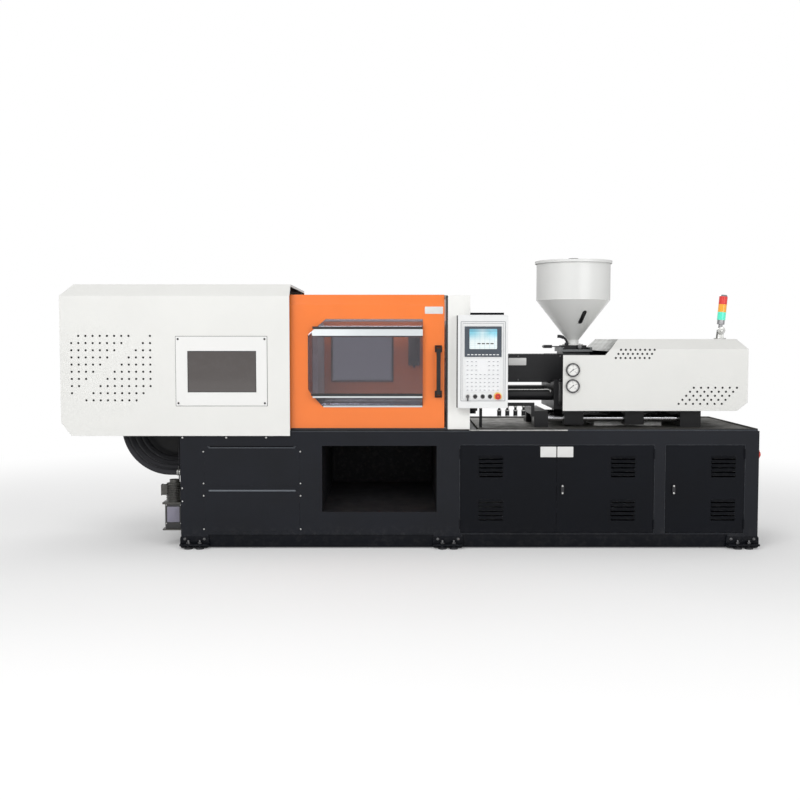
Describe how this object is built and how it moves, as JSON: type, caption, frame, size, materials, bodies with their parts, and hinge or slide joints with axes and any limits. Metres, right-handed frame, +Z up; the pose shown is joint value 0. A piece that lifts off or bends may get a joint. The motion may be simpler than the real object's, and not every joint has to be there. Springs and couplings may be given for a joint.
{
  "type": "injection moulding machine",
  "caption": "Horizontal injection moulding machine: white clamp and injection covers on a dark cabinet base, orange safety door with a smoky window, side panel, cone hopper and signal tower.",
  "frame": {"origin": "on the floor under the middle of the machine", "axes": "+X along the machine from the clamp end to the injection end, +Y from the operator's side to the back, +Z up"},
  "size_m": [4.917, 1.319, 2.083],
  "materials": {
    "dark_blue_paint": "satin",
    "off_white_paint": "semi-gloss",
    "orange_paint": "semi-gloss",
    "grey_paint": "satin",
    "black_paint": "satin",
    "galvanised_sheet": "matt",
    "machined_steel": "machined",
    "chromed_steel": "polished",
    "cast_platen": "painted cast",
    "smoked_pane": "smoky clear",
    "dark_pane": "polished",
    "black_plastic": "fine grain",
    "panel_grey": "satin",
    "screen_blue": "glossy",
    "stop_red": "glossy",
    "hose_rubber": "matt",
    "white_hopper_paint": "gloss",
    "lens_red": "moulded",
    "brass_fitting": "turned"
  },
  "bodies": {
    "machine": {"base_frame": "dark_blue_paint", "base_top": "galvanised_sheet", "levelling_feet": "machined_steel", "lubricator": "grey_paint", "clamp_hoses": "hose_rubber", "motor_pump": "grey_paint", "control_rack": "galvanised_sheet", "fixed_platen": "cast_platen", "tie_bars": "chromed_steel", "clamp_cover": "off_white_paint", "clamp_window": "dark_pane", "column_cover": "off_white_paint", "door_rails": "galvanised_sheet", "panel_housing": "panel_grey", "panel_screen": "screen_blue", "carriage_rails": "machined_steel", "water_manifold": "brass_fitting"},
    "key_switch": {"key_switch": "machined_steel"},
    "button_left": {"button_left": "black_plastic"},
    "button_middle": {"button_middle": "black_plastic"},
    "button_right": {"button_right": "black_plastic"},
    "emergency_stop": {"emergency_stop": "stop_red"},
    "isolator_knob": {"isolator_knob": "stop_red"},
    "front_door": {"front_door": "orange_paint", "front_door_pane": "smoked_pane", "front_door_handle": "black_plastic"},
    "rear_door": {"rear_door": "orange_paint", "rear_door_pane": "smoked_pane"},
    "cabinet_door_left": {"cabinet_door_left": "dark_blue_paint"},
    "cabinet_door_middle": {"cabinet_door_middle": "dark_blue_paint"},
    "cabinet_door_right": {"cabinet_door_right": "dark_blue_paint"},
    "door_lock_middle": {"door_lock_middle": "black_plastic"},
    "door_lock_right": {"door_lock_right": "black_plastic"},
    "rear_platen": {"rear_platen": "cast_platen", "clamp_cylinder": "grey_paint"},
    "rear_link_upper": {"rear_link_upper": "machined_steel"},
    "rear_link_lower": {"rear_link_lower": "machined_steel"},
    "front_link_upper": {"front_link_upper": "machined_steel"},
    "front_link_lower": {"front_link_lower": "machined_steel"},
    "crosshead": {"crosshead": "machined_steel"},
    "crosshead_link_upper": {"crosshead_link_upper": "machined_steel"},
    "crosshead_link_lower": {"crosshead_link_lower": "machined_steel"},
    "moving_platen": {"moving_platen": "cast_platen"},
    "ejector": {"ejector": "machined_steel"},
    "carriage": {"carriage_base": "black_paint", "carriage_cylinders": "black_paint", "barrel": "machined_steel", "barrel_guard": "black_paint", "injection_housing": "grey_paint", "injection_cover": "off_white_paint", "tower_foot": "machined_steel"},
    "injection_drive": {"injection_drive": "grey_paint"},
    "screw": {"screw": "chromed_steel"},
    "hopper": {"hopper_slide": "black_paint", "hopper": "white_hopper_paint"},
    "hopper_lid": {"hopper_lid": "white_hopper_paint"},
    "hopper_gate": {"hopper_gate": "black_paint"},
    "gauge_needle_upper": {"gauge_needle_upper": "black_plastic"},
    "gauge_needle_lower": {"gauge_needle_lower": "black_plastic"},
    "signal_tower": {"signal_tower": "lens_red"}
  },
  "joints": [
    {"name": "front_door_slide", "type": "slide", "parent": "machine", "child": "front_door", "axis": [-1, 0, 0], "range_m": [0, 0.98]},
    {"name": "rear_door_slide", "type": "slide", "parent": "machine", "child": "rear_door", "axis": [-1, 0, 0], "range_m": [0, 0.98]},
    {"name": "mould_height_adjust", "type": "slide", "parent": "machine", "child": "rear_platen", "axis": [1, 0, 0], "range_m": [-0.04, 0.28]},
    {"name": "toggle_swing", "type": "hinge", "parent": "rear_platen", "child": "rear_link_upper", "pos_m": [-1.1094, 0, 1.337], "axis": [0, 1, 0], "range_deg": [0, 70.6]},
    {"name": "upper_elbow", "type": "hinge", "parent": "rear_link_upper", "child": "front_link_upper", "pos_m": [-1.0247, 0, 1.62479], "axis": [0, 1, 0], "range_deg": [-141.2, 0]},
    {"name": "upper_platen_pin", "type": "hinge", "parent": "front_link_upper", "child": "moving_platen", "pos_m": [-0.94, 0, 1.337], "axis": [0, 1, 0], "range_deg": [0, 70.6]},
    {"name": "lower_toggle_swing", "type": "hinge", "parent": "rear_platen", "child": "rear_link_lower", "pos_m": [-1.1094, 0, 1.187], "axis": [0, 1, 0], "range_deg": [-70.6, 0]},
    {"name": "lower_elbow", "type": "hinge", "parent": "rear_link_lower", "child": "front_link_lower", "pos_m": [-1.0247, 0, 0.89921], "axis": [0, 1, 0], "range_deg": [0, 141.2]},
    {"name": "upper_crosshead_ear", "type": "hinge", "parent": "rear_link_upper", "child": "crosshead_link_upper", "pos_m": [-1.06705, 0, 1.4809], "axis": [0, 1, 0], "range_deg": [-141.2, 0]},
    {"name": "crosshead_pin", "type": "hinge", "parent": "crosshead_link_upper", "child": "crosshead", "pos_m": [-1.0247, 0, 1.337], "axis": [0, 1, 0], "range_deg": [0, 70.6]},
    {"name": "lower_crosshead_ear", "type": "hinge", "parent": "rear_link_lower", "child": "crosshead_link_lower", "pos_m": [-1.06705, 0, 1.0431], "axis": [0, 1, 0], "range_deg": [0, 141.2]},
    {"name": "ejector_slide", "type": "slide", "parent": "moving_platen", "child": "ejector", "axis": [1, 0, 0], "range_m": [0, 0.1]},
    {"name": "cabinet_hinge_left", "type": "hinge", "parent": "machine", "child": "cabinet_door_left", "pos_m": [0.347, -0.594, 0.422], "axis": [0, 0, -1], "range_deg": [0, 110]},
    {"name": "cabinet_hinge_middle", "type": "hinge", "parent": "machine", "child": "cabinet_door_middle", "pos_m": [1.711, -0.594, 0.422], "axis": [0, 0, 1], "range_deg": [0, 110]},
    {"name": "cabinet_hinge_right", "type": "hinge", "parent": "machine", "child": "cabinet_door_right", "pos_m": [2.348, -0.594, 0.422], "axis": [0, 0, 1], "range_deg": [0, 110]},
    {"name": "lock_turn_middle", "type": "hinge", "parent": "cabinet_door_middle", "child": "door_lock_middle", "pos_m": [1.067, -0.592, 0.441], "axis": [0, 1, 0], "range_deg": [0, 90]},
    {"name": "lock_turn_right", "type": "hinge", "parent": "cabinet_door_right", "child": "door_lock_right", "pos_m": [1.851, -0.592, 0.441], "axis": [0, 1, 0], "range_deg": [0, 90]},
    {"name": "isolator_turn", "type": "hinge", "parent": "machine", "child": "isolator_knob", "pos_m": [2.454, -0.43, 0.651], "axis": [1, 0, 0], "range_deg": [0, 90]},
    {"name": "stop_press", "type": "slide", "parent": "machine", "child": "emergency_stop", "axis": [0, 1, 0], "range_m": [0, 0.006]},
    {"name": "button_press_left", "type": "slide", "parent": "machine", "child": "button_left", "axis": [0, 1, 0], "range_m": [0, 0.004], "stiffness_N_per_m": 400},
    {"name": "button_press_middle", "type": "slide", "parent": "machine", "child": "button_middle", "axis": [0, 1, 0], "range_m": [0, 0.004], "stiffness_N_per_m": 400},
    {"name": "button_press_right", "type": "slide", "parent": "machine", "child": "button_right", "axis": [0, 1, 0], "range_m": [0, 0.004], "stiffness_N_per_m": 400},
    {"name": "key_turn", "type": "hinge", "parent": "machine", "child": "key_switch", "pos_m": [0.393, -0.655, 1.0796], "axis": [0, 1, 0], "range_deg": [-45, 45]},
    {"name": "carriage_travel", "type": "slide", "parent": "machine", "child": "carriage", "axis": [1, 0, 0], "range_m": [-0.05, 0.2]},
    {"name": "injection_stroke", "type": "slide", "parent": "carriage", "child": "injection_drive", "axis": [1, 0, 0], "range_m": [0, 0.2]},
    {"name": "screw_spin", "type": "hinge", "parent": "injection_drive", "child": "screw", "pos_m": [1.62, 0, 1.262], "axis": [1, 0, 0], "continuous": true},
    {"name": "hopper_travel", "type": "slide", "parent": "carriage", "child": "hopper", "axis": [0, -1, 0], "range_m": [0, 0.18]},
    {"name": "hopper_gate_pull", "type": "slide", "parent": "hopper", "child": "hopper_gate", "axis": [-1, 0, 0], "range_m": [0, 0.07]},
    {"name": "hopper_lid_lift", "type": "slide", "parent": "hopper", "child": "hopper_lid", "axis": [0, 0, 1], "range_m": [0, 0.15]},
    {"name": "gauge_turn_upper", "type": "hinge", "parent": "carriage", "child": "gauge_needle_upper", "pos_m": [1.147, -0.512, 1.259], "axis": [0, 1, 0], "range_deg": [0, 260]},
    {"name": "gauge_turn_lower", "type": "hinge", "parent": "carriage", "child": "gauge_needle_lower", "pos_m": [1.147, -0.512, 1.145], "axis": [0, 1, 0], "range_deg": [0, 260]},
    {"name": "tower_fold", "type": "hinge", "parent": "carriage", "child": "signal_tower", "pos_m": [2.294, -0.15, 1.541], "axis": [0, 1, 0], "range_deg": [-5, 85]}
  ],
  "couplings": [
    {"joint": "upper_elbow", "follows": "toggle_swing", "ratio": -2},
    {"joint": "upper_platen_pin", "follows": "toggle_swing", "ratio": 1},
    {"joint": "lower_toggle_swing", "follows": "toggle_swing", "ratio": -1},
    {"joint": "lower_elbow", "follows": "toggle_swing", "ratio": 2},
    {"joint": "upper_crosshead_ear", "follows": "toggle_swing", "ratio": -2},
    {"joint": "crosshead_pin", "follows": "toggle_swing", "ratio": 1},
    {"joint": "lower_crosshead_ear", "follows": "toggle_swing", "ratio": 2}
  ]
}
